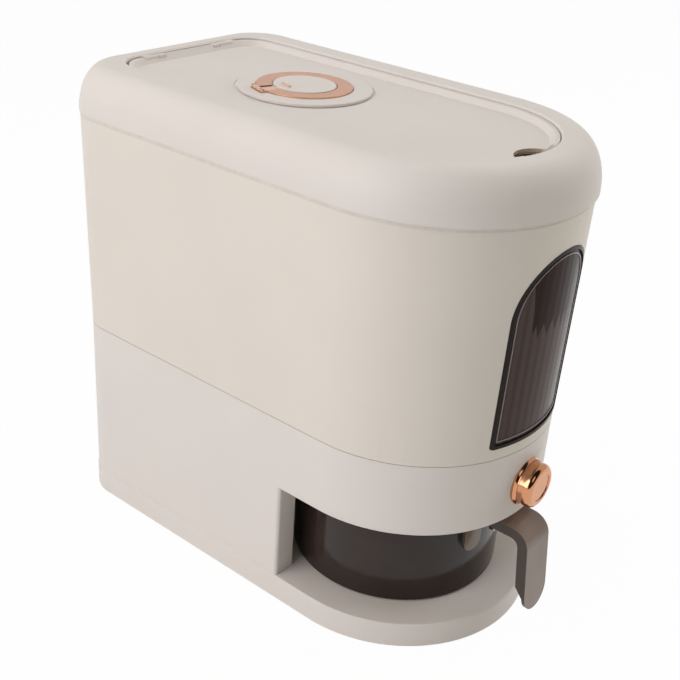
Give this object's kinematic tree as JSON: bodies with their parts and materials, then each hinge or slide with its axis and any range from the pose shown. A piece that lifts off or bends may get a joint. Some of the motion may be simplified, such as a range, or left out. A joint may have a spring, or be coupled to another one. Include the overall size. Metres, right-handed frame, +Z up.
{
  "type": "rice dispenser",
  "caption": "Countertop rice bin with a fluted window, a dished flap lid with a desiccant dial, a push button that slides a gate under the funnel, and a round measuring cup in a front bay",
  "frame": {"origin": "centre of the bounding box in plan, on the floor under the feet", "axes": "+X to the right seen from the front, +Y to the back, +Z up; the button, the window and the cup's handle face -Y"},
  "size_m": [0.2068, 0.373, 0.3467],
  "materials": {
    "cream_plastic": "satin moulded plastic, warm off-white",
    "ivory_plastic": "satin moulded plastic, ivory",
    "inner_plastic": "plain moulded plastic, off-white",
    "bezel_plastic": "gloss, very dark brown",
    "smoked_window": "smoked clear plastic with vertical flutes",
    "smoked_cup": "smoked clear plastic, dark brown",
    "handle_plastic": "smoked plastic, lighter brown",
    "rose_metal": "satin rose-gold plating",
    "button_metal": "mirror rose-gold plating",
    "pin_steel": "plain drawn steel",
    "spring_steel": "spring steel",
    "seal_rubber": "soft silicone, pale grey",
    "foot_rubber": "dark rubber"
  },
  "bodies": {
    "housing": {"base_plate": "cream_plastic", "foot_pads": "foot_rubber", "lower_housing": "ivory_plastic", "upper_housing": "ivory_plastic", "window_bezel": "bezel_plastic", "window_pane": "smoked_window", "lid_seal": "seal_rubber", "lid_frame": "cream_plastic", "hinge_pin": "pin_steel", "button_collar": "button_metal", "button_spring": "spring_steel", "outlet_frame": "inner_plastic", "hopper": "inner_plastic"},
    "flap": {"flap": "cream_plastic"},
    "desiccant_unit": {"desiccant_cap": "cream_plastic", "desiccant_basket": "inner_plastic", "ring_saddle": "rose_metal"},
    "ring": {"lift_ring": "rose_metal"},
    "button": {"button_cap": "button_metal", "button_stem": "inner_plastic", "gate_plate": "inner_plastic"},
    "cup": {"measuring_cup": "smoked_cup", "cup_handle": "handle_plastic"}
  },
  "joints": [
    {"name": "flap_hinge", "type": "hinge", "parent": "housing", "child": "flap", "pos_m": [0, 0.16525, 0.3447], "axis": [-1, 0, 0], "range_deg": [0, 97]},
    {"name": "desiccant_lift", "type": "slide", "parent": "flap", "child": "desiccant_unit", "axis": [0, 0, 1], "range_m": [0, 0.04]},
    {"name": "ring_hinge", "type": "hinge", "parent": "desiccant_unit", "child": "ring", "pos_m": [-0.03383, 0.06286, 0.3441], "axis": [-0.342, -0.9397, 0], "range_deg": [0, 85]},
    {"name": "button_press", "type": "slide", "parent": "housing", "child": "button", "axis": [0, 1, 0], "range_m": [0, 0.01], "stiffness_N_per_m": 500, "springref_m": -0.004, "deforming": ["button_spring"]},
    {"name": "cup_pull", "type": "slide", "parent": "housing", "child": "cup", "axis": [0, -1, 0], "range_m": [0, 0.2]}
  ]
}
